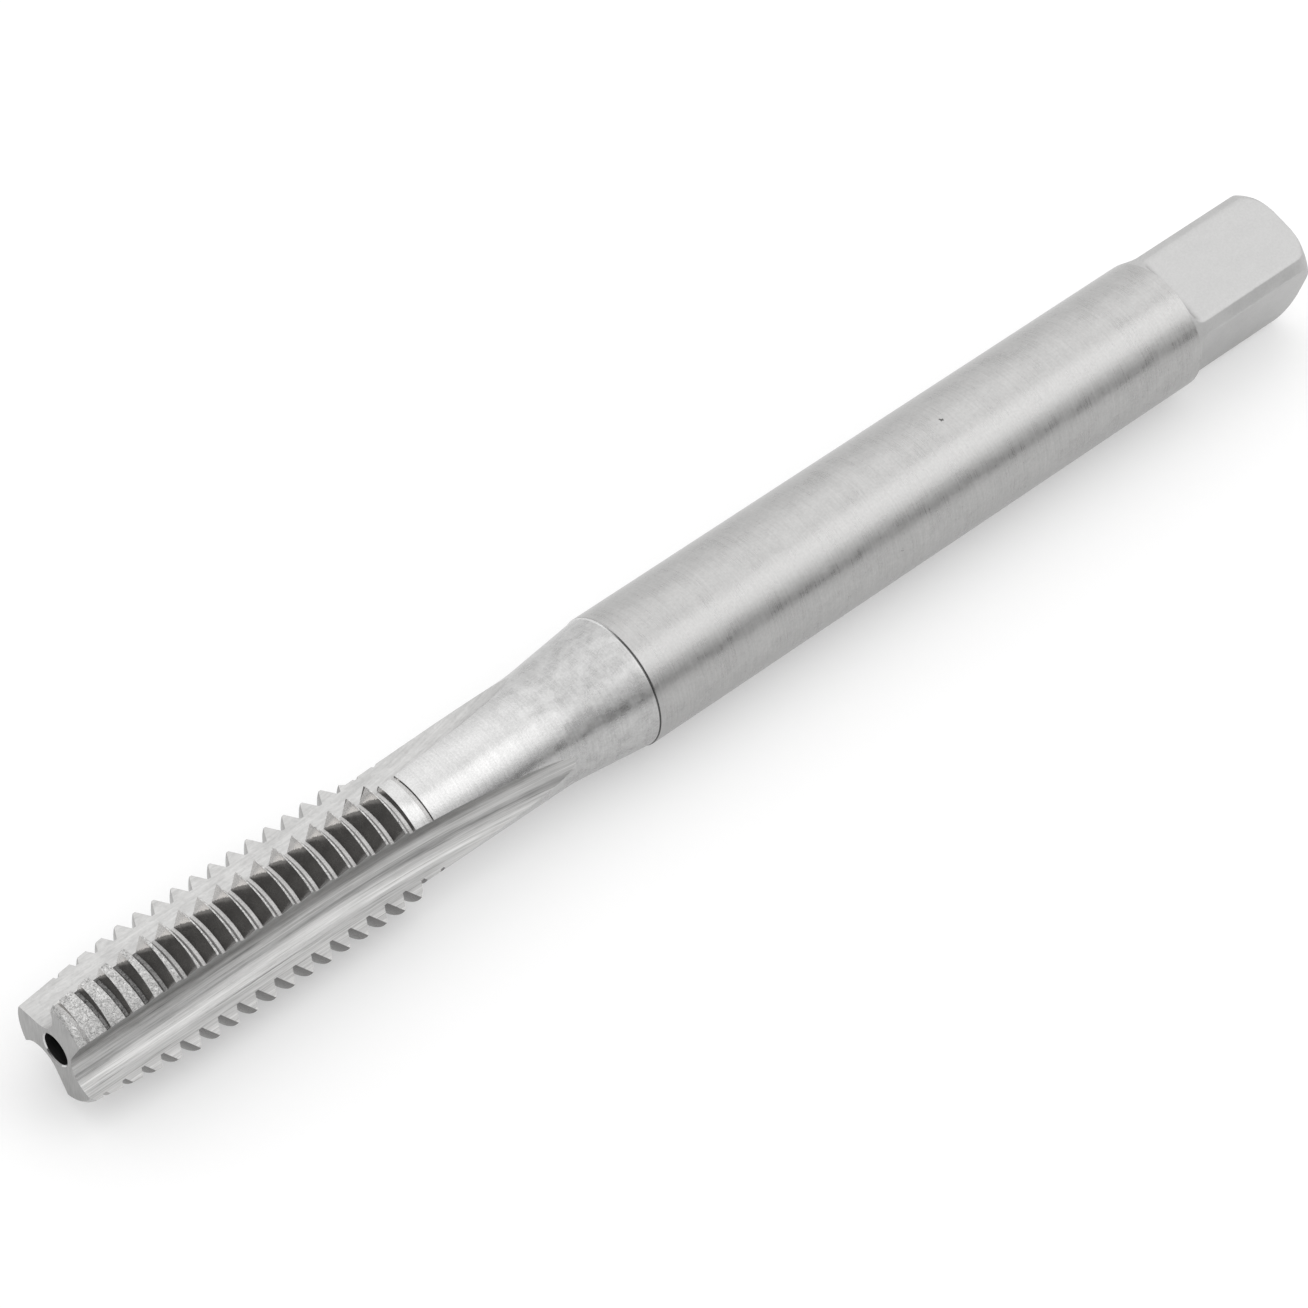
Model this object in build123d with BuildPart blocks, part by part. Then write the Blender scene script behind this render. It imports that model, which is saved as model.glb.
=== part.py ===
from build123d import *
from math import asin, atan2, ceil, cos, hypot, radians, sin, sqrt, tan
import os

# A three-flute machine tap for M8 x 1.25 coarse thread, lying on its shank.
# The tool's axis runs along X, with the cutting tip at -X and the driving square at +X.
# The origin is under the middle of the tool, on the surface that it lies on.
# Stations along the tool are measured from the tip. Angles are measured about the tool's axis,
# from +Y towards +Z, which is the way that the thread winds from the tip to the shank.

# Whole tool
overall_length = 90.0
shank_diameter = 8.0
land_count = 3

# Cutting lead and thread
crest_diameter = 8.14
thread_length = 21.3
shoulder_length = 0.7
tip_diameter = 6.6
lead_length = 6.3
tip_chamfer = 0.25
pitch = 1.25
root_diameter = 6.4
root_flat = 0.20
groove_angle = 60.0
groove_phase = 0.105
groove_end = 23.3
seam_angle = 50.0
groove_clearance = 0.08
turn_overlap = 0.02

# Lands: the first cutting edge's angle, and how the crests fall away behind it
first_edge_angle = 87.0
land_angle = 45.5
relief_start_angle = 8.0
relief_sweep = 75.5
relief_centre_angle = 60.0
crest_relief = 0.09
lead_relief = 0.30

# Flutes: an L-shaped section with a round root, and the wheel that grinds it
flute_root_radius = 1.5
flute_root_inward = 2.5
flute_root_sideways = 1.3
flute_full_length = 15.8
wheel_radius = 67.0
wheel_infeed_angle = 45.0
wheel_exit_angle = 22.0

# Neck and the cone up to the shank
neck_diameter = 6.76
neck_end = 32.9
cone_end = 38.1
cone_step = 0.05
cone_blend_radius = 12.0

# Driving square
square_across_flats = 6.2
square_length = 9.0
square_corner_radius = 0.8
square_angle = 17.8
shank_end_radius = 1.2

# Centre hole in the tip
centre_hole_radius = 0.95
centre_hole_depth = 3.5
centre_hole_chamfer = 0.07
centre_hole_point_depth = 0.475

# Worked out from the dimensions above
tip_x = -overall_length / 2
shank_radius = shank_diameter / 2
axis_height = shank_radius
crest_radius = crest_diameter / 2
tip_radius = tip_diameter / 2
neck_radius = neck_diameter / 2
flute_angle = 360.0 / land_count - land_angle
tool_axis = Axis((tip_x, 0, axis_height), (1, 0, 0))
clear = 3.0


def around(angle, radius=1.0):
    """Y and Z of a point at an angle about the tool's axis, measured from the axis."""
    return radius * cos(radians(angle)), radius * sin(radians(angle))


def lengthwise_plane(angle, centre=(0.0, 0.0)):
    """A plane along the tool: local X runs up the tool, local Y points outward at the angle."""
    y, z = around(angle)
    origin = (tip_x, centre[0], axis_height + centre[1])
    return Plane(origin=origin, x_dir=(1, 0, 0), z_dir=(0, -z, y))


def flute_plane(edge_angle, station):
    """A plane across the tool, facing the tip, with local X towards the cutting edge."""
    y, z = around(edge_angle)
    return Plane(origin=(tip_x + station, 0, axis_height), x_dir=(0, y, z), z_dir=(-1, 0, 0))


def touch_point(corner, centre, radius, side):
    """Where the line from a corner touches a circle, on its side +1 or -1."""
    distance = hypot(centre[0] - corner[0], centre[1] - corner[1])
    reach = sqrt(distance**2 - radius**2)
    heading = atan2(centre[1] - corner[1], centre[0] - corner[0])
    heading += side * asin(radius / distance)
    return corner[0] + reach * cos(heading), corner[1] + reach * sin(heading)


def carried_on(start, end, extra):
    """The end of the line from start to end, carried on past the end."""
    share = extra / hypot(end[0] - start[0], end[1] - start[1])
    return end[0] + (end[0] - start[0]) * share, end[1] + (end[1] - start[1]) * share


# One turn of the thread groove, as a solid to cut with. It starts at the seam angle, which lies in
# a flute, and its sides stop just outside the crests so that turns don't run into each other.
root_radius = root_diameter / 2
groove_top = crest_radius + groove_clearance
groove_rise = tan(radians(groove_angle / 2))
with BuildPart() as groove_turn:
    with BuildLine() as groove_path:
        Helix(
            pitch=pitch,
            height=pitch * (1 + turn_overlap),
            radius=root_radius,
            center=(0, 0, 0),
            direction=(1, 0, 0),
        )
    with BuildSketch(Plane.XZ):
        with BuildLine():
            half_top = root_flat / 2 + (groove_top - root_radius) * groove_rise
            Polyline(
                (-root_flat / 2, root_radius),
                (root_flat / 2, root_radius),
                (half_top, groove_top),
                (-half_top, groove_top),
                close=True,
            )
        make_face()
    sweep(path=groove_path.line, is_frenet=True)

with BuildPart() as thread_tap:
    # Turned blank: tip, lead cone, threaded length, neck, cone and shank
    with BuildSketch(lengthwise_plane(90)):
        with BuildLine():
            Polyline(
                (0, 0),
                (0, tip_radius),
                (lead_length, crest_radius),
                (thread_length, crest_radius),
                (thread_length + shoulder_length, neck_radius),
                (neck_end, neck_radius),
                (cone_end, shank_radius - cone_step),
                (cone_end, shank_radius),
                (overall_length, shank_radius),
                (overall_length, 0),
                close=True,
            )
        make_face()
        neck_corner = vertices().sort_by_distance((neck_end, neck_radius))[0]
        fillet(neck_corner, cone_blend_radius)
        end_corner = vertices().sort_by_distance((overall_length, shank_radius))[0]
        fillet(end_corner, shank_end_radius)
        tip_corner = vertices().sort_by_distance((0, tip_radius))[0]
        chamfer(tip_corner, tip_chamfer)
    revolve(axis=tool_axis)

    # Driving square: four flats, each ending in a round shoulder towards the shank
    flat_height = square_across_flats / 2
    square_start = overall_length - square_length - square_corner_radius
    for side in range(4):
        with BuildSketch(lengthwise_plane(square_angle + 90 * side)):
            with Locations((square_start, flat_height)):
                Rectangle(square_length + clear, clear, align=(Align.MIN, Align.MIN))
            inner_corner = vertices().sort_by_distance((square_start, flat_height))[0]
            fillet(inner_corner, square_corner_radius)
        extrude(amount=shank_diameter, both=True, mode=Mode.SUBTRACT)

    # Radial relief: behind each cutting edge the crests and the lead are ground about a centre of
    # their own, which lies ahead of the edge, so that the land falls away towards its heel
    thread_end = thread_length + shoulder_length
    crest_profile = (
        (-clear, crest_radius),
        (thread_end, crest_radius),
        (thread_end, crest_radius + clear),
        (-clear, crest_radius + clear),
    )
    lead_slope = (crest_radius - tip_radius) / lead_length
    lead_profile = (
        (-clear, tip_radius - lead_slope * clear),
        (lead_length + clear, crest_radius + lead_slope * clear),
        (-clear, crest_radius + lead_slope * clear),
    )
    for land in range(land_count):
        edge_angle = first_edge_angle + land * 360 / land_count
        for relief, profile in ((crest_relief, crest_profile), (lead_relief, lead_profile)):
            centre = around(edge_angle - relief_centre_angle, relief)
            drop = relief * cos(radians(relief_centre_angle))
            with BuildSketch(lengthwise_plane(edge_angle - relief_start_angle, centre)):
                with Locations((0, -drop)):
                    Polygon(*profile, align=None)
            relief_axis = Axis((tip_x, centre[0], axis_height + centre[1]), (1, 0, 0))
            revolve(axis=relief_axis, revolution_arc=relief_sweep, mode=Mode.SUBTRACT)

    # Flutes: straight from the tip, then running out along the grinding wheel's rim
    root_centre = (flute_root_inward, flute_root_sideways)
    edge_corner = (crest_radius, 0)
    heel_corner = around(flute_angle, crest_radius)
    edge_touch = touch_point(edge_corner, root_centre, flute_root_radius, 1)
    heel_touch = touch_point(heel_corner, root_centre, flute_root_radius, -1)
    infeed = around(wheel_infeed_angle)
    root_depth = (
        root_centre[0] * infeed[0] + root_centre[1] * infeed[1] - flute_root_radius
    )
    for land in range(land_count):
        edge_angle = first_edge_angle + land * 360 / land_count
        with BuildSketch(flute_plane(edge_angle, flute_full_length)) as flute:
            with BuildLine():
                Line(carried_on(edge_touch, edge_corner, clear), edge_touch)
                RadiusArc(edge_touch, heel_touch, flute_root_radius)
                Line(heel_touch, carried_on(heel_touch, heel_corner, clear))
                Line(
                    carried_on(heel_touch, heel_corner, clear),
                    carried_on(edge_touch, edge_corner, clear),
                )
            make_face()
        extrude(amount=flute_full_length + clear, mode=Mode.SUBTRACT)
        infeed_angle = edge_angle - wheel_infeed_angle
        wheel_y, wheel_z = around(infeed_angle, root_depth + wheel_radius)
        wheel_axis = Axis(
            (tip_x + flute_full_length, wheel_y, axis_height + wheel_z),
            (0, *around(infeed_angle + 90)),
        )
        revolve(
            flute.sketch,
            axis=wheel_axis,
            revolution_arc=wheel_exit_angle,
            mode=Mode.SUBTRACT,
        )

    # Thread: a right-hand helical groove, cut turn by turn from in front of the tip into the neck
    first_station = groove_phase + pitch * (seam_angle / 360 - 2)
    turn_count = ceil((groove_end - first_station) / pitch)
    turned_groove = groove_turn.part.rotate(Axis.X, seam_angle - 90)
    for turn in range(turn_count):
        station = tip_x + first_station + pitch * turn
        with Locations((station, 0, axis_height)):
            add(turned_groove, mode=Mode.SUBTRACT)

    # Centre hole in the tip, chamfered at its mouth, with a drill point at its bottom
    with BuildSketch(lengthwise_plane(90)):
        with BuildLine():
            Polyline(
                (-clear, 0),
                (-clear, centre_hole_radius + centre_hole_chamfer + clear),
                (centre_hole_chamfer, centre_hole_radius),
                (centre_hole_depth, centre_hole_radius),
                (centre_hole_depth + centre_hole_point_depth, 0),
                close=True,
            )
        make_face()
    revolve(axis=tool_axis, mode=Mode.SUBTRACT)

thread_tap.part.label = "thread_tap"

os.makedirs("parts", exist_ok=True)
export_step(thread_tap.part, "parts/thread_tap.step")
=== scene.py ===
import bpy
import math
import numpy as np
from mathutils import Matrix, Vector
from mathutils.geometry import delaunay_2d_cdt


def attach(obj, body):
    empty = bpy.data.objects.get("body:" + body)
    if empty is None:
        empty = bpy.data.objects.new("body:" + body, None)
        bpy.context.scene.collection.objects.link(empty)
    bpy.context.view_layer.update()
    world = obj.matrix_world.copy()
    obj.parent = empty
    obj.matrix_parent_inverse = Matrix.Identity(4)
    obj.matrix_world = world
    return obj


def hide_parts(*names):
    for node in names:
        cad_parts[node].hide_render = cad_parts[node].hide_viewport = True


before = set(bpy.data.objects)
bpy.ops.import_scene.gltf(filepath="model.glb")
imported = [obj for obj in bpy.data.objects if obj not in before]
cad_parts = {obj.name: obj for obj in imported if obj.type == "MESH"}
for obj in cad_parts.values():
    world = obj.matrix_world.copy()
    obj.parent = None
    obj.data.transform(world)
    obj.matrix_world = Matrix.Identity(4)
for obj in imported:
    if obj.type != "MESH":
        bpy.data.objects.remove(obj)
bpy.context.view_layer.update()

# ---------------------------------------------------------------- dimensions
# Millimetres and degrees. x runs from the tip to the square end, angles turn
# about the tool's axis from +Y towards +Z, and the axis lies 4 mm up. Sizes
# across the tool are radii. SHANK and CREST are a hair under the CAD's 4.0 and
# 4.07, so that the visual stays inside the CAD's box.
MM = 0.001
LENGTH = 90.0
AXIS_HEIGHT = 4.0
SHANK = 3.9998
CREST = 4.0675
TIP = 3.3
NECK = 3.38
LEAD = 6.3
BEVEL = 0.25
THREAD_END = 21.3
NECK_START = 22.0
NECK_END = 32.9
CONE_END = 38.1
CONE_TOP = 3.95
JOINT_LINE = 0.08
CONE_BLEND = 12.0
BLEND_STEPS = 13

# Lands: the angles of their cutting edges, and how they fall away behind them
EDGES = (-33.0, 87.0, 207.0)
UPPER_EDGE = EDGES[1]
LAND = 45.5
RELIEF_FROM = 60.0
CREST_RELIEF = 0.09
LEAD_RELIEF = 0.30
LEAD_OVERLAP = 3.0

# Thread groove: its root lifts from LIFT_FROM to LIFT_FROM + LIFT_OVER turned
# degrees, and the groove ends at GROOVE_STOP.
PITCH = 1.25
PHASE = 0.105
ROOT = 3.2
ROOT_HALF = 0.10
RISE = math.tan(math.radians(30))
GROOVES = 20
LAST_LIFT = 0.10
LIFT_FROM = 6300.0
LIFT_OVER = 250.0
GROOVE_STOP = 6890.0

# Flutes: an L-shaped section with a round root. INFEED, where the wheel came
# from, and MID_LAND, well inside a land, are degrees behind a cutting edge.
FLUTE_ROOT = 1.5
FLUTE_CENTRE = np.array((2.5, 1.3))
FLUTE_FULL = 15.8
WHEEL = 67.0
INFEED = 75.0
MID_LAND = 20.0

# Driving square, rounded end and centre hole
FLAT = 3.1
FLAT_ANGLE = 17.8
FLAT_START = 80.2
FLAT_CURVE = 0.8
END_ROUND = 1.2
HOLE = 0.95
HOLE_DEPTH = 3.5
HOLE_BEVEL = 0.07
HOLE_POINT = 0.475

# Columns of faces round each part of the mesh
LAND_COLUMNS = 44
FLUTE_COLUMNS = 26
FLAT_COLUMNS = 20
HOLE_COLUMNS = 72


# ---------------------------------------------------------------- surfaces
def blank_profile():
    """x and radius of the turned blank, from the tip to the end of the cone."""
    slope = math.atan2(CONE_TOP - NECK, CONE_END - NECK_END)
    reach = CONE_BLEND * math.tan(slope / 2)
    xs = [0, LEAD, THREAD_END, NECK_START]
    rs = [TIP, CREST, CREST, NECK]
    for step in np.linspace(0, slope, BLEND_STEPS):
        xs.append(NECK_END - reach + CONE_BLEND * math.sin(step))
        rs.append(NECK + CONE_BLEND * (1 - math.cos(step)))
    xs.append(CONE_END)
    rs.append(CONE_TOP)
    return np.array(xs), np.array(rs)


BLANK_X, BLANK_R = blank_profile()


def relieved(radius, relief, behind):
    """Radius of a land that is ground about a centre of its own."""
    a = np.radians(behind + RELIEF_FROM)
    share = relief * math.cos(math.radians(RELIEF_FROM))
    return relief * np.cos(a) + np.sqrt((radius - share) ** 2 - (relief * np.sin(a)) ** 2)


def blank(x, behind):
    """Radius of the blank at x, so many degrees behind the cutting edge."""
    r = np.interp(x, BLANK_X, BLANK_R)
    crest = relieved(CREST, CREST_RELIEF, behind)
    lead = relieved(TIP + (CREST - TIP) / LEAD * x, LEAD_RELIEF, behind)
    r = np.where(x < NECK_START, np.minimum(r, crest), r)
    r = np.where(x < LEAD + LEAD_OVERLAP, np.minimum(r, lead), r)
    return np.where(x < BEVEL, np.minimum(r, TIP - BEVEL + x), r)


def root_radius(turned):
    """Radius of the thread's root: it lifts a little over the last turn, then the groove stops."""
    root = ROOT + LAST_LIFT * np.clip((turned - LIFT_FROM) / LIFT_OVER, 0, 1)
    return np.where(turned > GROOVE_STOP, 2 * CREST, root)


def outside(x, angle, edge):
    """Radius of the threaded land or neck at x and angle."""
    r = blank(x, (angle - edge + 180) % 360 - 180)
    k = np.round((x - PHASE) / PITCH - angle / 360)
    centre = PHASE + PITCH * (k + angle / 360)
    wall = root_radius(360 * k + angle) + np.maximum(0, np.abs(x - centre) - ROOT_HALF) / RISE
    return np.minimum(r, wall)


def touch(corner, side):
    """Where the line from a corner touches the flute's round root, on its side -1 or 1."""
    away = FLUTE_CENTRE - corner
    distance = math.hypot(*away)
    reach = math.sqrt(distance ** 2 - FLUTE_ROOT ** 2)
    heading = math.atan2(away[1], away[0]) + side * math.asin(FLUTE_ROOT / distance)
    return corner + reach * np.array((math.cos(heading), math.sin(heading)))


# A flute's section lies in a plane of its own: across it, u runs towards the cutting edge and v is
# square to u. The wheel came in at 45 degrees between them.
SLANT = math.sqrt(0.5)
OPEN = math.radians(120 - LAND)
EDGE_CORNER = np.array((CREST, 0.0))
HEEL_CORNER = CREST * np.array((math.cos(OPEN), math.sin(OPEN)))
EDGE_TOUCH = touch(EDGE_CORNER, 1)
HEEL_TOUCH = touch(HEEL_CORNER, -1)
EDGE_LINE = (EDGE_CORNER - EDGE_TOUCH) / np.linalg.norm(EDGE_CORNER - EDGE_TOUCH)
HEEL_LINE = (HEEL_CORNER - HEEL_TOUCH) / np.linalg.norm(HEEL_CORNER - HEEL_TOUCH)
ARC_FROM = math.atan2(*(EDGE_TOUCH - FLUTE_CENTRE)[::-1]) % math.tau
ARC_TO = math.atan2(*(HEEL_TOUCH - FLUTE_CENTRE)[::-1]) % math.tau
ARC = FLUTE_ROOT * (ARC_FROM - ARC_TO)
WHEEL_REACH = float(FLUTE_CENTRE.sum() * SLANT - FLUTE_ROOT + WHEEL)


def flute_point(s, x):
    """u and v of the flute, s mm from the foot of the cutting face, lifted by the wheel at x."""
    s, x = np.broadcast_arrays(np.asarray(s, float), np.asarray(x, float))
    a = ARC_FROM - np.clip(s, 0, ARC) / FLUTE_ROOT
    u = FLUTE_CENTRE[0] + FLUTE_ROOT * np.cos(a) + np.minimum(s, 0) * -EDGE_LINE[0]
    v = FLUTE_CENTRE[1] + FLUTE_ROOT * np.sin(a) + np.minimum(s, 0) * -EDGE_LINE[1]
    over = np.maximum(s - ARC, 0)
    u = u + over * HEEL_LINE[0]
    v = v + over * HEEL_LINE[1]
    out = (u + v) * SLANT
    across = (v - u) * SLANT
    past = np.maximum(x - FLUTE_FULL, 0)
    out = WHEEL_REACH - np.sqrt((WHEEL_REACH - out) ** 2 - past ** 2)
    return (out - across) * SLANT, (out + across) * SLANT


# The search for the end of the flutes
RUN_OUT_REACH = 20.0
RUN_OUT_SAMPLES = 4001
RUN_OUT_HALVINGS = 60


def flute_end():
    """Where the flute leaves the neck, found by halving: its x, and s of its last point."""
    s = np.linspace(0, ARC, RUN_OUT_SAMPLES)
    low, high = FLUTE_FULL, FLUTE_FULL + RUN_OUT_REACH
    for _ in range(RUN_OUT_HALVINGS):
        x = (low + high) / 2
        u, v = flute_point(s, x)
        depth = np.interp(x, BLANK_X, BLANK_R) - np.hypot(u, v)
        if depth.max() > 0:
            low = x
        else:
            high = x
    return low, s[depth.argmax()]


FLUTE_STOP, FLUTE_MIDDLE = flute_end()

# How far past a flute's own section its corners may lie
PAST_EDGE = 5.0
PAST_HEEL = 6.0
CORNER_HALVINGS = 44


def corner(x, edge, side):
    """s and angle where the flute meets the outside, side -1 at its cutting edge, 1 at its heel."""
    inner = np.full_like(x, FLUTE_MIDDLE)
    outer = np.full_like(x, -PAST_EDGE if side < 0 else ARC + PAST_HEEL)
    land = edge if side < 0 else edge - 120
    for _ in range(CORNER_HALVINGS):
        s = (inner + outer) / 2
        u, v = flute_point(s, x)
        angle = edge - np.degrees(np.arctan2(v, u))
        inside = np.hypot(u, v) < outside(x, angle, land)
        inner = np.where(inside, s, inner)
        outer = np.where(inside, outer, s)
    return s, angle


# ---------------------------------------------------------------- rows
# Each row of points follows the thread's helix, so that crests and roots keep
# sharp edges. A row lies between two knots, at a share of the way. The parts
# are how many rows lie between one knot and the next.
TIP_PARTS = (3, 4)
GROOVE_PARTS = (4, 1, 4, 3)
TAIL_PARTS = (8, 44)
TAIL_START = 26.0
TAIL_CROWDING = 1.5
NECK_GROOVE = 17
LAST_GROOVE = 19

# Half of a groove's width at the surface is settled in rounds, from a first
# guess. LEAST_GAP keeps knots that would meet or cross apart.
FIRST_HALF = 0.4
LEAST_DEPTH = 0.001
LEAST_GAP = 0.004
SETTLING = 5


def zone_names():
    """The zone that starts at each knot. What lies between the last grooves is neck."""
    names = ["bevel", "crest"]
    for groove in range(GROOVES):
        if groove < LAST_GROOVE:
            names += ["back", "root", "front", "crest" if groove < NECK_GROOVE else "neck"]
        else:
            names += ["neck"] * 4
    return names + ["neck"] * 2


def knots(angle, edge):
    """x of the knots along the land at these angles, as an array (knot, angle)."""
    k = np.arange(GROOVES)[:, None]
    centre = PHASE + PITCH * (k + angle / 360)
    root = root_radius(360 * k + angle)
    behind = (angle - edge + 180) % 360 - 180
    reach = []
    for way in (-1, 1):
        half = np.full_like(centre, FIRST_HALF)
        for _ in range(SETTLING):
            x = np.maximum(centre + way * half, 0)
            half = ROOT_HALF + np.maximum(blank(x, behind) - root, LEAST_DEPTH) * RISE
        reach.append(half)
    four = np.stack((centre - reach[0], centre - ROOT_HALF, centre + ROOT_HALF, centre + reach[1]), 1)
    rows = np.concatenate((
        np.zeros((1, angle.size)),
        np.full((1, angle.size), BEVEL),
        four.reshape(-1, angle.size),
        np.full((1, angle.size), TAIL_START),
        np.full((1, angle.size), FLUTE_STOP),
    ))
    gap = LEAST_GAP * np.arange(len(rows))[:, None]
    rows[:-2] = np.maximum.accumulate(rows[:-2] - gap[:-2]) + gap[:-2]
    return rows


def row_plan():
    """Knot number, share of the way to the next knot, and zone, for each row."""
    parts = list(TIP_PARTS) + list(GROOVE_PARTS) * GROOVES
    parts = parts[:-1] + list(TAIL_PARTS)
    names = zone_names()
    number, share, zone = [], [], []
    for knot, count in enumerate(parts):
        for step in range(count):
            number.append(knot)
            way = step / count
            share.append(way if knot < len(parts) - 1 else 1 - (1 - way) ** TAIL_CROWDING)
            zone.append(names[knot])
    number.append(len(parts) - 1)
    share.append(1.0)
    return np.array(number), np.array(share), zone


ROW_KNOT, ROW_SHARE, ROW_ZONE = row_plan()
ROWS = len(ROW_KNOT)


def row_x(angle, edge):
    """x of every row, where angle holds one angle for each row."""
    rows = knots(angle, edge)
    every = np.arange(ROWS)
    return rows[ROW_KNOT, every] * (1 - ROW_SHARE) + rows[ROW_KNOT + 1, every] * ROW_SHARE


# ---------------------------------------------------------------- mesh
points = []
faces = []
face_zone = []


def add_points(x, radius, angle):
    """Adds points from arrays of x, radius and angle, and returns their numbers."""
    a = np.radians(angle)
    y = radius * np.cos(a)
    z = AXIS_HEIGHT + radius * np.sin(a)
    xyz = np.stack(np.broadcast_arrays(x - LENGTH / 2, y, z), -1)
    first = sum(len(p) for p in points)
    points.append(xyz.reshape(-1, 3))
    return first + np.arange(xyz.size // 3).reshape(xyz.shape[:-1])


def add_faces(grid, zones, flip=False):
    """Joins a grid of point numbers (row, column) with faces, one zone for each row."""
    for i in range(grid.shape[0] - 1):
        zone = zones if isinstance(zones, str) else zones[i]
        for j in range(grid.shape[1] - 1):
            ring = [grid[i, j], grid[i, j + 1], grid[i + 1, j + 1], grid[i + 1, j]]
            ring = [int(n) for m, n in enumerate(ring) if n not in ring[:m]]
            if len(ring) > 2:
                faces.append(ring[::-1] if flip else ring)
                face_zone.append(zone)


def closed(grid):
    """A grid of point numbers with its first column once more at its end."""
    return np.concatenate((grid, grid[:, :1]), 1)


# Lands: their corners slide along the helix, so they are found in a few rounds
CORNER_ROUNDS = 4
land_grid = []
edge_s, heel_s = [], []
share = np.linspace(0, 1, LAND_COLUMNS + 1)
for number, edge in enumerate(EDGES):
    start = np.full(ROWS, edge)
    stop = np.full(ROWS, edge + LAND)
    for _ in range(CORNER_ROUNDS):
        s_edge, start = corner(row_x(start, edge), edge, -1)
        s_heel, stop = corner(row_x(stop, edge), edge + 120, 1)
    start[-1] = edge - math.degrees(math.atan2(*flute_point(FLUTE_MIDDLE, FLUTE_STOP)[::-1]))
    stop[-1] = start[-1] + 120
    s_edge[-1] = s_heel[-1] = FLUTE_MIDDLE
    angle = start[:, None] + (stop - start)[:, None] * share
    x = np.stack([row_x(angle[:, j], edge) for j in range(LAND_COLUMNS + 1)], 1)
    radius = outside(x, angle, edge)
    land_grid.append(dict(x=x, angle=angle, numbers=add_points(x, radius, angle)))
    edge_s.append(s_edge)
    heel_s.append(s_heel)

for number in range(len(EDGES)):
    land_grid[number - 1]["numbers"][-1, -1] = land_grid[number]["numbers"][-1, 0]
for grid in land_grid:
    add_faces(grid["numbers"], ROW_ZONE)

# Flutes, each from the heel of the land before it to the edge of the land after it
way = np.linspace(0, 1, FLUTE_COLUMNS + 1)[1:-1]
for number, edge in enumerate(EDGES):
    before = land_grid[number - 1]
    after = land_grid[number]
    s = heel_s[number - 1][:, None] * (1 - way) + edge_s[number][:, None] * way
    x = before["x"][:, -1:] * (1 - way) + after["x"][:, :1] * way
    u, v = flute_point(s, x)
    inside = add_points(x, np.hypot(u, v), edge - np.degrees(np.arctan2(v, u)))
    inside[-1] = after["numbers"][-1, 0]
    flute = np.concatenate((before["numbers"][:, -1:], inside, after["numbers"][:, :1]), 1)
    after["flute"] = flute
    add_faces(flute, "heel" if edge == UPPER_EDGE else "flute")

# From the end of the flutes: cone, shank, square and rounded end
COLUMNS = len(EDGES) * LAND_COLUMNS
CORNER_COLUMNS = COLUMNS // 4 - FLAT_COLUMNS

# Half of a flat's width in degrees: before the square, at least, and for matching the columns
FIRST_FLAT_HALF = 12.8
LEAST_FLAT_HALF = 8.0
MATCHING_HALF = 30
last_ring = np.concatenate([grid["numbers"][-1, :-1] for grid in land_grid])
even = land_grid[0]["angle"][-1, 0] + np.arange(COLUMNS) * 360 / COLUMNS


def square_angles(half):
    """Column angles with points on both sides of each flat, half degrees from its middle."""
    out = []
    for quarter in range(4):
        middle = FLAT_ANGLE + 90 * quarter
        out += list(middle - half + 2 * half * np.arange(FLAT_COLUMNS) / FLAT_COLUMNS)
        out += list(middle + half + (90 - 2 * half) * np.arange(CORNER_COLUMNS) / CORNER_COLUMNS)
    out = np.array(out)
    return np.concatenate((out, out + 360))


def column_match():
    """The square's column that goes with the first even column, and the turns between the two."""
    angles = square_angles(MATCHING_HALF)
    offsets = [np.mean(angles[n:n + COLUMNS] - even) for n in range(COLUMNS)]
    nearest = int(np.argmin([abs((offset + 180) % 360 - 180) for offset in offsets]))
    return nearest, np.round(offsets[nearest] / 360) * 360


SHIFT, TURNS = column_match()


def ring_angles(x, half):
    """Column angles at x: even on the cone, and gathered about the flats by the square."""
    share = np.clip((x - CONE_END) / (FLAT_START - CONE_END), 0, 1)
    gathered = square_angles(half)[SHIFT:SHIFT + COLUMNS] - TURNS
    return even * (1 - share) + gathered * share


def flat_height(x):
    """How far a flat lies from the axis at x, with its round shoulder."""
    if x >= FLAT_START + FLAT_CURVE:
        return FLAT
    rest = FLAT_START + FLAT_CURVE - x
    return FLAT + FLAT_CURVE - math.sqrt(FLAT_CURVE ** 2 - rest ** 2)


# Each station is x, radius, height of the flats if there are any, and the zone before it
CONE_STEPS = 24
SHANK_STEPS = 44
FLAT_STEPS = 12
ROUND_STEPS = 15
JOINT_DROP = 0.012
JOINT_WIDTH = 0.02
JOINT_END = 0.05
AFTER_START = 0.001
stations = []
for x in np.linspace(FLUTE_STOP, CONE_END - JOINT_LINE, CONE_STEPS)[1:]:
    stations.append((x, float(np.interp(x, BLANK_X, BLANK_R)), None, "cone"))
stations.append((CONE_END, CONE_TOP - JOINT_DROP, None, "joint"))
stations.append((CONE_END + JOINT_WIDTH, SHANK - JOINT_WIDTH, None, "joint"))
for x in np.linspace(CONE_END + JOINT_END, FLAT_START, SHANK_STEPS):
    stations.append((x, SHANK, None, "shank"))
stations.append((FLAT_START + AFTER_START, SHANK, flat_height(FLAT_START), "shank"))
for x in FLAT_START + FLAT_CURVE * (1 - np.cos(np.linspace(0, math.pi / 2, FLAT_STEPS)[1:])):
    stations.append((x, SHANK, flat_height(x), "square"))
for x in np.linspace(FLAT_START + FLAT_CURVE, LENGTH - END_ROUND, FLAT_STEPS)[1:]:
    stations.append((x, SHANK, FLAT, "square"))
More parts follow.
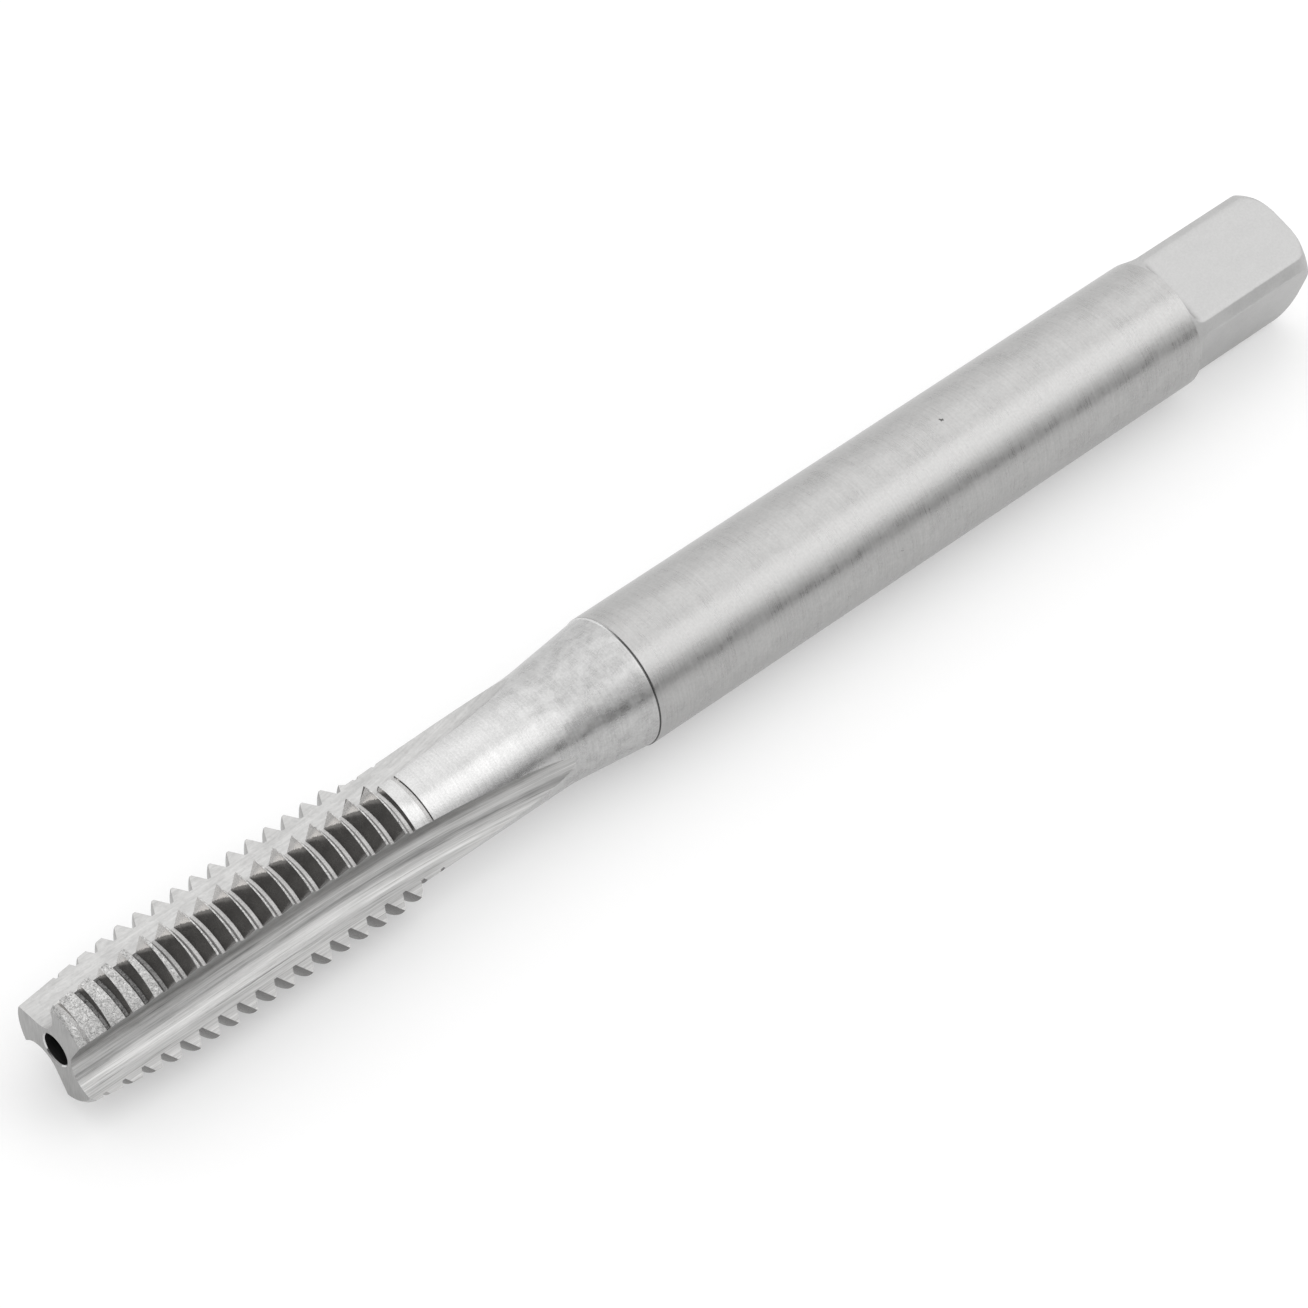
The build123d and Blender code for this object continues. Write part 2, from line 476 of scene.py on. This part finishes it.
for a in np.radians(np.linspace(0, 90, ROUND_STEPS)[1:]):
    x = LENGTH - END_ROUND + END_ROUND * math.sin(a)
    stations.append((x, SHANK - END_ROUND + END_ROUND * math.cos(a), FLAT, "square"))

rings, zones = [last_ring], []
flat_half = FIRST_FLAT_HALF
for x, radius, height, zone in stations:
    r = np.full(COLUMNS, radius)
    if height is None:
        angle = ring_angles(x, flat_half)
    else:
        flat_half = max(math.degrees(math.acos(min(1, height / radius))), LEAST_FLAT_HALF)
        angle = ring_angles(x, flat_half)
        away = (angle - FLAT_ANGLE + 45) % 90 - 45
        r = np.minimum(r, height / np.cos(np.radians(away)))
    rings.append(add_points(np.full(COLUMNS, x), r, angle))
    zones.append(zone)
rings = np.stack(rings)
add_faces(closed(rings), zones)

# The plain end of the square: rings towards its middle, and a fan
END_RINGS = (2.0, 1.2, 0.5)
middle = add_points(np.array([LENGTH]), np.array([0.0]), np.array([0.0]))
inner = [rings[-1]]
end_angles = ring_angles(LENGTH, LEAST_FLAT_HALF)
for radius in END_RINGS:
    inner.append(add_points(np.full(COLUMNS, LENGTH), np.full(COLUMNS, radius), end_angles))
inner = np.stack(inner)
add_faces(closed(inner), "square")
for j in range(COLUMNS):
    faces.append([int(inner[-1, j]), int(inner[-1, (j + 1) % COLUMNS]), int(middle[0])])
    face_zone.append("square")

# Centre hole: x and radius of its rings, down to the drill point
HOLE_PROFILE = (
    (0, HOLE + HOLE_BEVEL),
    (HOLE_BEVEL, HOLE),
    (0.6, HOLE),
    (1.4, HOLE),
    (2.4, HOLE),
    (HOLE_DEPTH, HOLE),
    (HOLE_DEPTH + 0.24, HOLE / 2),
    (HOLE_DEPTH + HOLE_POINT, 0.02),
)
round_angles = np.arange(HOLE_COLUMNS) * 360 / HOLE_COLUMNS
hole_rings = []
for x, radius in HOLE_PROFILE:
    hole_rings.append(add_points(np.full(HOLE_COLUMNS, x), np.full(HOLE_COLUMNS, radius), round_angles))
hole_grid = np.stack(hole_rings)
add_faces(closed(hole_grid)[:2], "rim", flip=True)
add_faces(closed(hole_grid)[1:], "hole", flip=True)
faces.append([int(n) for n in hole_grid[-1]][::-1])
face_zone.append("hole")

# Tip face, between the first row of lands and flutes and the mouth of the hole
outline = []
for grid in land_grid:
    outline += list(grid["flute"][0, :-1])
    outline += list(grid["numbers"][0, :-1])
everything = np.concatenate(points)
loop = outline + list(hole_grid[0])
flat_points = [Vector((everything[n, 1], everything[n, 2])) for n in loop]
outline_count = len(outline)
borders = [(n, (n + 1) % outline_count) for n in range(outline_count)]
borders += [(outline_count + n, outline_count + (n + 1) % HOLE_COLUMNS) for n in range(HOLE_COLUMNS)]
TOUCHING = 1e-7
made = delaunay_2d_cdt(flat_points, borders, [], 0, TOUCHING)
cap_points, cap_faces, cap_from = made[0], made[2], made[3]
cap_number = [loop[origins[0]] for origins in cap_from]
outline_yz = everything[outline][:, 1:]


def within(p):
    """Whether a point of the tip's plane lies inside the outline."""
    a, b = outline_yz, np.roll(outline_yz, -1, 0)
    cross = (a[:, 1] > p[1]) != (b[:, 1] > p[1])
    at = a[:, 0] + (p[1] - a[:, 1]) / np.where(cross, b[:, 1] - a[:, 1], 1) * (b[:, 0] - a[:, 0])
    return np.count_nonzero(cross & (p[0] < at)) % 2 == 1


for triangle in cap_faces:
    middle_yz = sum((cap_points[n] for n in triangle), Vector((0, 0))) / len(triangle)
    in_hole = math.hypot(middle_yz.x, middle_yz.y - AXIS_HEIGHT) < HOLE + HOLE_BEVEL
    if within(middle_yz) and not in_hole:
        corners = [int(cap_number[n]) for n in triangle]
        p, q, r = (everything[n, 1:] for n in corners[:3])
        if (q[0] - p[0]) * (r[1] - p[1]) - (q[1] - p[1]) * (r[0] - p[0]) > 0:
            corners.reverse()
        faces.append(corners)
        face_zone.append("face")

mesh = bpy.data.meshes.new("tap_body")
mesh.from_pydata((everything * MM).tolist(), [], faces)
tap = bpy.data.objects.new("tap_body", mesh)
bpy.context.scene.collection.objects.link(tap)


# ---------------------------------------------------------------- materials
class Surface:
    """A material's node tree, with short calls that add its nodes."""

    def __init__(self, name, rough):
        self.material = bpy.data.materials.new(name)
        self.material.use_nodes = True
        self.tree = self.material.node_tree
        self.shader = self.tree.nodes["Principled BSDF"]
        self.shader.inputs["Metallic"].default_value = 1.0
        self.shader.inputs["Roughness"].default_value = rough
        self.rough = rough
        place = self.tree.nodes.new("ShaderNodeTexCoord").outputs["Object"]
        to_axis = (0, 0, -AXIS_HEIGHT * MM)
        self.place = self.add("ShaderNodeVectorMath", {0: place, 1: to_axis}).outputs[0]

    def add(self, kind, inputs, **settings):
        """A new node, with each input linked to a socket or set to a value."""
        node = self.tree.nodes.new(kind)
        for key, value in settings.items():
            setattr(node, key, value)
        for key, value in inputs.items():
            if isinstance(value, bpy.types.NodeSocket):
                self.tree.links.new(value, node.inputs[key])
            else:
                node.inputs[key].default_value = value
        return node

    def compute(self, operation, first, second=0.0):
        """The result of one arithmetic step."""
        return self.add("ShaderNodeMath", {0: first, 1: second}, operation=operation).outputs[0]

    def part(self, axis):
        """The place's X, Y or Z, measured from the tool's axis, in metres."""
        return self.add("ShaderNodeSeparateXYZ", {0: self.place}).outputs[axis]

    def stretched(self, size):
        """The place about the tool's axis, in features of this size in mm along X, Y and Z."""
        scale = tuple(1 / (MM * length) for length in size)
        stretch = self.add("ShaderNodeVectorMath", {0: self.place, 1: scale}, operation="MULTIPLY")
        return stretch.outputs[0]

    def texture(self, place, detail, rough, warp=0.0):
        """Noise of about -1 to 1 at this place."""
        looks = {"Vector": place, "Scale": 1.0, "Detail": detail, "Roughness": rough, "Distortion": warp}
        noise = self.add("ShaderNodeTexNoise", looks)
        return self.ramp(noise.outputs["Fac"], 0.25, 0.75, -1.0, 1.0)

    def noise(self, size, detail=3.0, rough=0.55, warp=0.0):
        """Noise of about -1 to 1, with features of this size in mm along X, Y and Z."""
        return self.texture(self.stretched(size), detail, rough, warp)

    def ramp(self, value, low, high, to_low=0.0, to_high=1.0):
        """A value between low and high, carried smoothly on to another range."""
        ends = {"Value": value, "From Min": low, "From Max": high, "To Min": to_low, "To Max": to_high}
        return self.add("ShaderNodeMapRange", ends, interpolation_type="SMOOTHSTEP").outputs["Result"]

    def pits(self, cell, radius, share):
        """Small scattered pits, 1 inside and 0 outside, in this share of cells of this size in mm."""
        place = self.stretched((cell, cell, cell))
        cells = self.add("ShaderNodeTexVoronoi", {"Vector": place, "Scale": 1.0})
        edge = self.ramp(self.noise((radius, radius, radius), 2.0), -1.0, 1.0, 0.3, 1.6)
        reach = self.compute("MULTIPLY", edge, radius / cell)
        depth = self.compute("SUBTRACT", reach, cells.outputs["Distance"])
        soft = 0.3 * radius / cell
        inside = self.ramp(depth, -soft, soft)
        chance = self.add("ShaderNodeSeparateColor", {"Color": cells.outputs["Color"]}).outputs["Red"]
        return self.compute("MULTIPLY", inside, self.compute("LESS_THAN", chance, share))

    def round_the_axis(self, least=0.0):
        """Distances from the tip and the axis in mm, and degrees behind an edge, from least up."""
        x, y, z = self.part("X"), self.part("Y"), self.part("Z")
        squares = self.compute("ADD", self.compute("MULTIPLY", y, y), self.compute("MULTIPLY", z, z))
        radius = self.compute("MULTIPLY", self.compute("SQRT", squares), 1 / MM)
        angle = self.compute("MULTIPLY", self.compute("ARCTAN2", z, y), math.degrees(1))
        along = self.compute("ADD", self.compute("MULTIPLY", x, 1 / MM), LENGTH / 2)
        turned = self.compute("SUBTRACT", angle, EDGES[0] + least)
        turned = self.compute("FLOORED_MODULO", turned, 360 / len(EDGES))
        return along, radius, self.compute("ADD", turned, least)

    def lines(self, length, width, detail=3.0, rough=0.6):
        """Noise of about -1 to 1 in lines of this length and width in mm, as the wheel ground them."""
        along, radius, behind = self.round_the_axis(MID_LAND)
        swing = self.compute("MULTIPLY", self.compute("SUBTRACT", INFEED, behind), math.radians(1))
        out = self.compute("MULTIPLY", self.compute("COSINE", swing), radius)
        across = self.compute("MULTIPLY", self.compute("SINE", swing), radius)
        past = self.compute("MAXIMUM", self.compute("SUBTRACT", along, FLUTE_FULL), 0.0)
        squares = self.compute("POWER", self.compute("SUBTRACT", WHEEL_REACH, out), 2.0)
        squares = self.compute("ADD", squares, self.compute("MULTIPLY", past, past))
        depth = self.compute("SUBTRACT", WHEEL_REACH, self.compute("SQRT", squares))
        place = self.add("ShaderNodeCombineXYZ", {
            "X": self.compute("MULTIPLY", along, 1 / length),
            "Y": self.compute("MULTIPLY", depth, 1 / width),
            "Z": self.compute("MULTIPLY", across, 1 / width),
        })
        return self.texture(place.outputs[0], detail, rough)

    def cover(self, colour, shades, roughness=(), bumps=()):
        """Shades the colour, roughness and bump by (pattern, strength) pairs; bumps are in mm."""
        shade = 1.0
        for pattern, strength in shades:
            shade = self.compute("ADD", self.compute("MULTIPLY", pattern, strength), shade)
        lit = self.add("ShaderNodeVectorMath", {0: colour, "Scale": shade}, operation="SCALE")
        self.tree.links.new(lit.outputs[0], self.shader.inputs["Base Color"])
        rough = self.rough
        for pattern, strength in roughness:
            rough = self.compute("ADD", self.compute("MULTIPLY", pattern, strength), rough)
        if roughness:
            self.tree.links.new(rough, self.shader.inputs["Roughness"])
        height = 0.0
        for pattern, depth in bumps:
            height = self.compute("ADD", self.compute("MULTIPLY", pattern, depth * MM), height)
        if bumps:
            bump = self.add("ShaderNodeBump", {"Height": height, "Strength": 1.0, "Distance": 1.0})
            self.tree.links.new(bump.outputs["Normal"], self.shader.inputs["Normal"])
        return self.material


# Colours of the steel, by zone
SHANK_GREY = (0.415, 0.412, 0.408)
NECK_GREY = (0.53, 0.528, 0.525)
# The joint's pale grey paints a highlight on the step.
JOINT_HIGHLIGHT_GREY = (0.70, 0.698, 0.695)
RIM_GREY = (0.58, 0.578, 0.575)
FLUTE_GREY = (0.52, 0.517, 0.512)
HEEL_GREY = (0.50, 0.497, 0.492)
# The thread walls' dark grey is painted shade between the teeth.
FLANK_SHADE_GREY = (0.20, 0.196, 0.192)
ROOT_GREY = (0.42, 0.415, 0.41)
CREST_GREY = (0.56, 0.556, 0.55)
SQUARE_GREY = (0.50, 0.498, 0.495)
FACE_GREY = (0.38, 0.378, 0.374)
# The hole's near-black is painted shade in the recess.
HOLE_SHADE_GREY = (0.10, 0.099, 0.098)

# Where looks change, in mm from the tip: rougher up the neck, paler on the first groove, and dark
# roots where the lead's grooves are shallow
ROUGHER_FROM, ROUGHER_TO = 27.0, 34.0
FIRST_FROM, FIRST_TO = 1.4, 0.8
SHALLOW_FROM, SHALLOW_TO = 8.0, 4.5

# And in degrees behind an edge: where the flute's painted shade under the heel fades in, and the painted
# highlight in a corner of the thread's walls, which is widest at the crest and fades out over its soft
# border
SHADE_UNDER_FROM, SHADE_UNDER_TO = 84.0, 54.0
HIGHLIGHT_REACH = 13.0
HIGHLIGHT_FROM, HIGHLIGHT_TO = -2.5, -1.0


def shank_steel():
    """Cylindrically ground and then tumbled: fine rings, soft mottling and a few pits."""
    steel = Surface("shank_steel", 0.31)
    rings = steel.noise((0.12, 2.4, 2.4), 4.0, 0.7)
    cloud = steel.noise((1.6, 1.1, 1.1), 4.0, 0.6)
    grain = steel.noise((0.14, 0.14, 0.14), 2.0)
    pits = steel.pits(2.8, 0.11, 0.4)
    return steel.cover(
        SHANK_GREY,
        shades=[(rings, 0.07), (cloud, 0.07), (grain, 0.05), (pits, -0.65)],
        roughness=[(cloud, 0.05), (rings, 0.04), (pits, 0.3)],
        bumps=[(rings, 0.0006), (grain, 0.0005), (pits, -0.01)],
    )


def neck_steel():
    """Smooth and bright along the neck, rougher up the cone, with a few dark pits."""
    steel = Surface("neck_steel", 0.23)
    up_cone = steel.ramp(steel.round_the_axis()[0], ROUGHER_FROM, ROUGHER_TO)
    rings = steel.noise((0.12, 2.0, 2.0), 3.0, 0.6)
    cloud = steel.noise((1.0, 0.7, 0.7), 5.0, 0.65)
    grain = steel.noise((0.11, 0.11, 0.11), 2.0)
    pits = steel.pits(1.7, 0.10, 0.45)
    mottle = steel.compute("MULTIPLY", steel.compute("ADD", up_cone, 0.4), cloud)
    return steel.cover(
        NECK_GREY,
        shades=[(up_cone, -0.12), (rings, 0.05), (mottle, 0.10), (grain, 0.06), (pits, -0.6)],
        roughness=[(up_cone, 0.07), (mottle, 0.05), (pits, 0.2)],
        bumps=[(rings, 0.0005), (grain, 0.0007), (pits, -0.006)],
    )


def joint_steel():
    """The step at the end of the cone: a painted highlight on the +Y side and painted shade on the -Y
    side.
    """
    steel = Surface("joint_steel", 0.25)
    # Painted shade: the -Y side of the step is darkened
    shaded_side = steel.ramp(steel.part("Y"), 1.0 * MM, -1.0 * MM)
    return steel.cover(JOINT_HIGHLIGHT_GREY, shades=[(shaded_side, -0.85)])


def rim_steel():
    """The polished bevel at the mouth of the centre hole."""
    steel = Surface("rim_steel", 0.16)
    grain = steel.noise((0.2, 0.2, 0.2), 2.0)
    return steel.cover(RIM_GREY, shades=[(grain, 0.08)])


def flute_steel():
    """Ground lengthwise: long streaks and scratches, with painted shade beneath the heel of the land
    above.
    """
    steel = Surface("flute_steel", 0.38)
    # Painted shade: the flute is darkened beneath the heel of the land above
    shade_under_heel = steel.ramp(steel.round_the_axis(MID_LAND)[2], SHADE_UNDER_FROM, SHADE_UNDER_TO)
    streaks = steel.lines(6.0, 0.09, 4.0, 0.72)
    bands = steel.lines(10.0, 0.5)
    scratches = steel.ramp(steel.lines(7.0, 0.06, 2.0), 0.55, 0.95)
    cloud = steel.noise((1.6, 0.6, 0.6), 4.0)
    return steel.cover(
        FLUTE_GREY,
        shades=[(shade_under_heel, -0.36), (streaks, 0.26), (bands, 0.14), (scratches, -0.35), (cloud, 0.06)],
        roughness=[(streaks, 0.08), (cloud, 0.05)],
        bumps=[(streaks, 0.0020), (scratches, -0.002)],
    )


def heel_steel():
    """The flute between the rear and the upper land: paler, with faint streaks and wrinkles."""
    steel = Surface("heel_steel", 0.38)
    streaks = steel.lines(4.0, 0.15, 4.0, 0.7)
    wrinkles = steel.noise((0.5, 0.25, 0.25), 4.0, 0.65, 1.2)
    cloud = steel.noise((1.2, 0.6, 0.6), 4.0)
    return steel.cover(
        HEEL_GREY,
        shades=[(streaks, 0.09), (wrinkles, 0.10), (cloud, 0.06)],
        roughness=[(wrinkles, 0.05)],
        bumps=[(streaks, 0.0010), (wrinkles, 0.003)],
    )


def flank_steel():
    """The thread's walls: dark grey as painted shade between the teeth, paler on the first groove, with
    a painted highlight in a corner behind the upper edge.
    """
    steel = Surface("flank_steel", 0.25)
    along, radius, behind = steel.round_the_axis()
    cloud = steel.noise((0.5, 0.5, 0.5), 4.0)
    grain = steel.noise((0.08, 0.08, 0.08), 2.0)
    # Painted highlight: a pale corner behind each cutting edge, widest at the crest, on the upper side
    # of the tool only
    share = steel.compute("MULTIPLY", steel.compute("SUBTRACT", radius, ROOT), 1 / (CREST - ROOT))
    ragged = steel.compute("MULTIPLY", grain, 0.8)
    reach = steel.compute("ADD", steel.compute("MULTIPLY", share, HIGHLIGHT_REACH), ragged)
    inside = steel.ramp(steel.compute("SUBTRACT", reach, behind), HIGHLIGHT_FROM, HIGHLIGHT_TO)
    upper = steel.compute("GREATER_THAN", steel.part("Z"), 0.0)
    pale = steel.compute("MULTIPLY", inside, upper)
    first = steel.ramp(along, FIRST_FROM, FIRST_TO)
    return steel.cover(
        FLANK_SHADE_GREY,
        shades=[(pale, 2.3), (first, 1.2), (cloud, 0.12), (grain, 0.12)],
        roughness=[(cloud, 0.05)],
        bumps=[(grain, 0.0004)],
    )


def root_steel():
    """The thread's roots: pale and speckled, but dark where the lead's grooves are shallow."""
    steel = Surface("root_steel", 0.30)
    along = steel.round_the_axis()[0]
    grain = steel.noise((0.12, 0.10, 0.10), 3.0, 0.6, 1.0)
    shallow = steel.ramp(along, SHALLOW_FROM, SHALLOW_TO)
    first = steel.ramp(along, FIRST_FROM, FIRST_TO)
    return steel.cover(
        ROOT_GREY,
        shades=[(shallow, -0.74), (first, 0.60), (grain, 0.20)],
        roughness=[(grain, 0.06)],
        bumps=[(grain, 0.002)],
    )


def crest_steel():
    """Crests and lead: pale, with a crackled grain."""
    steel = Surface("crest_steel", 0.36)
    crackle = steel.noise((0.16, 0.13, 0.13), 3.0, 0.6, 1.4)
    veins = steel.noise((0.30, 0.22, 0.22), 3.0, 0.6, 1.8)
    cracks = steel.ramp(steel.compute("ABSOLUTE", veins), 0.16, 0.0)
    cloud = steel.noise((0.8, 0.5, 0.5), 3.0)
    return steel.cover(
        CREST_GREY,
        shades=[(crackle, 0.30), (cracks, -0.55), (cloud, 0.08)],
        roughness=[(crackle, 0.09)],
        bumps=[(crackle, 0.008), (cracks, -0.008)],
    )


def square_steel():
    """The driving square: matte, with soft mottling."""
    steel = Surface("square_steel", 0.5)
    cloud = steel.noise((1.8, 1.2, 1.2), 4.0)
    grain = steel.noise((0.13, 0.13, 0.13), 2.0)
    return steel.cover(
        SQUARE_GREY,
        shades=[(cloud, 0.055), (grain, 0.035)],
        roughness=[(cloud, 0.05)],
        bumps=[(cloud, 0.006), (grain, 0.0006)],
    )


def face_steel():
    """The tip's face: dull, with straight grinding lines across it."""
    steel = Surface("face_steel", 0.42)
    lines = steel.noise((0.5, 0.07, 1.6), 4.0, 0.7)
    cloud = steel.noise((0.7, 0.7, 0.7), 4.0)
    return steel.cover(
        FACE_GREY,
        shades=[(lines, 0.18), (cloud, 0.10)],
        roughness=[(cloud, 0.06)],
        bumps=[(lines, 0.0015)],
    )


def hole_steel():
    """The inside of the centre hole: painted dark as shade in the recess, with rings."""
    steel = Surface("hole_steel", 0.45)
    rings = steel.noise((0.1, 1.0, 1.0), 3.0)
    return steel.cover(HOLE_SHADE_GREY, shades=[(rings, 0.2)], bumps=[(rings, 0.0008)])


# Materials by zone; the zones in SAME_LOOK take another zone's material
SAME_LOOK = {"bevel": "crest", "back": "flank", "front": "flank", "cone": "neck"}
LOOKS = {
    "crest": crest_steel(),
    "flank": flank_steel(),
    "root": root_steel(),
    "heel": heel_steel(),
    "neck": neck_steel(),
    "flute": flute_steel(),
    "rim": rim_steel(),
    "joint": joint_steel(),
    "shank": shank_steel(),
    "square": square_steel(),
    "face": face_steel(),
    "hole": hole_steel(),
}
SHARP_ANGLE = 24
order = list(LOOKS)
for name in order:
    mesh.materials.append(LOOKS[name])
face_look = [order.index(SAME_LOOK.get(zone, zone)) for zone in face_zone]
mesh.polygons.foreach_set("material_index", face_look)
mesh.validate()
mesh.update()
mesh.shade_smooth()
mesh.set_sharp_from_angle(angle=math.radians(SHARP_ANGLE))

# The square's own edges are worn, so they are shaded smooth
worn = {n for face, zone in zip(faces, face_zone) if zone == "square" for n in face}
for line in mesh.edges:
    if line.vertices[0] in worn and line.vertices[1] in worn:
        line.use_edge_sharp = False

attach(tap, "root")
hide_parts("thread_tap")

# ---------------------------------------------------------------- studio
# Metres. The floor is pale under the lamps; its glow, which only the camera and
# reflections see, makes it white in the picture without lighting the tool.
FLOOR_HALF = 1.5
FLOOR_GREY = (0.66, 0.66, 0.66, 1)
FLOOR_GLOW = 0.34


def pale_floor():
    """The floor's material: matte, with a glow for camera, glossy and transmission rays."""
    material = bpy.data.materials.new("floor")
    material.use_nodes = True
    tree = material.node_tree
    shader = tree.nodes["Principled BSDF"]
    shader.inputs["Base Color"].default_value = FLOOR_GREY
    shader.inputs["Roughness"].default_value = 0.9
    shader.inputs["Specular IOR Level"].default_value = 0.0
    path = tree.nodes.new("ShaderNodeLightPath")
    seen = path.outputs["Is Camera Ray"]
    for kind in ("Is Glossy Ray", "Is Transmission Ray"):
        either = tree.nodes.new("ShaderNodeMath")
        either.operation = "MAXIMUM"
        tree.links.new(seen, either.inputs[0])
        tree.links.new(path.outputs[kind], either.inputs[1])
        seen = either.outputs[0]
    glow = tree.nodes.new("ShaderNodeMath")
    glow.operation = "MULTIPLY"
    tree.links.new(seen, glow.inputs[0])
    glow.inputs[1].default_value = FLOOR_GLOW
    tree.links.new(glow.outputs[0], shader.inputs["Emission Strength"])
    shader.inputs["Emission Color"].default_value = (1, 1, 1, 1)
    return material


floor_corners = []
for x, y in ((-1, -1), (1, -1), (1, 1), (-1, 1)):
    floor_corners.append((x * FLOOR_HALF, y * FLOOR_HALF, 0))
floor_mesh = bpy.data.meshes.new("floor")
floor_mesh.from_pydata(floor_corners, [], [(0, 1, 2, 3)])
floor = bpy.data.objects.new("floor", floor_mesh)
bpy.context.scene.collection.objects.link(floor)
floor_mesh.materials.append(pale_floor())

# The room round the tool: bright towards TOWARDS, and dark low on the camera's side. Each step is
# how far the direction lies towards the vector, and the brightness there.
TOWARDS = Vector((0.50, 0.25, 0.83)).normalized()
WALLS = (
    (0.0, 0.08), (0.30, 0.10), (0.37, 0.20), (0.45, 0.36), (0.55, 0.62),
    (0.65, 0.86), (0.75, 0.95), (0.88, 1.05), (0.95, 1.18), (1.0, 1.4),
)
ABOVE = Vector((0.0, 0.6, 0.8))
LOW_SIDE = ((0.0, 0.12), (0.24, 0.15), (0.37, 1.0))
WORLD_STRENGTH = 1.10

world = bpy.data.worlds.new("studio")
bpy.context.scene.world = world
world.use_nodes = True
world_tree = world.node_tree
direction = world_tree.nodes.new("ShaderNodeTexCoord").outputs["Generated"]


def levels(towards, steps):
    """Brightness by how far the direction lies towards a vector: 0 straight away, 1 straight at it."""
    facing = world_tree.nodes.new("ShaderNodeVectorMath")
    facing.operation = "DOT_PRODUCT"
    world_tree.links.new(direction, facing.inputs[0])
    facing.inputs[1].default_value = towards
    spread = world_tree.nodes.new("ShaderNodeMapRange")
    spread.inputs["From Min"].default_value = -1
    world_tree.links.new(facing.outputs["Value"], spread.inputs["Value"])
    wall = world_tree.nodes.new("ShaderNodeValToRGB")
    world_tree.links.new(spread.outputs["Result"], wall.inputs["Fac"])
    elements = wall.color_ramp.elements
    while len(elements) < len(steps):
        elements.new(0.5)
    for element, (at, level) in zip(elements, steps):
        element.position = at
        element.color = (level, level, level, 1)
    return wall.outputs["Color"]


shaded = world_tree.nodes.new("ShaderNodeVectorMath")
shaded.operation = "MULTIPLY"
world_tree.links.new(levels(TOWARDS, WALLS), shaded.inputs[0])
world_tree.links.new(levels(ABOVE, LOW_SIDE), shaded.inputs[1])
background = world_tree.nodes["Background"]
world_tree.links.new(shaded.outputs[0], background.inputs["Color"])
background.inputs["Strength"].default_value = WORLD_STRENGTH

# One soft lamp, aimed at the origin
KEY_PLACE = Vector((0.56, -0.50, 0.70))
KEY_SIZE = 0.62
KEY_POWER = 0.9
key_data = bpy.data.lights.new("key", "AREA")
key_data.shape = "RECTANGLE"
key_data.size = KEY_SIZE
key_data.size_y = KEY_SIZE
key_data.energy = KEY_POWER
key = bpy.data.objects.new("key", key_data)
bpy.context.scene.collection.objects.link(key)
key.location = KEY_PLACE
key.rotation_mode = "QUATERNION"
key.rotation_quaternion = (-KEY_PLACE).to_track_quat("-Z", "Y")

# The camera as fitted to the photo: its place, and which way its own X, Y and Z run
CAMERA_PLACE = Vector((-0.13808129, -0.14668045, 0.21140010))
CAMERA_RIGHT = Vector((0.73754867, -0.67529397, 0.0))
CAMERA_UP = Vector((0.48738740, 0.53231917, 0.69216315))
CAMERA_BACK = Vector((-0.46741360, -0.51050401, 0.72174108))
camera_data = bpy.data.cameras.new("camera")
camera = bpy.data.objects.new("camera", camera_data)
bpy.context.scene.collection.objects.link(camera)
facing = Matrix((CAMERA_RIGHT, CAMERA_UP, CAMERA_BACK)).transposed()
camera.matrix_world = Matrix.Translation(CAMERA_PLACE) @ facing.to_4x4()
camera_data.lens = 145.33
camera_data.sensor_width = 36.0
camera_data.clip_start = 0.01
camera_data.clip_end = 20.0
bpy.context.scene.camera = camera

bpy.context.scene.view_settings.view_transform = "Standard"

print("triangles", sum(len(p.vertices) - 2 for p in mesh.polygons), "points", len(mesh.vertices))
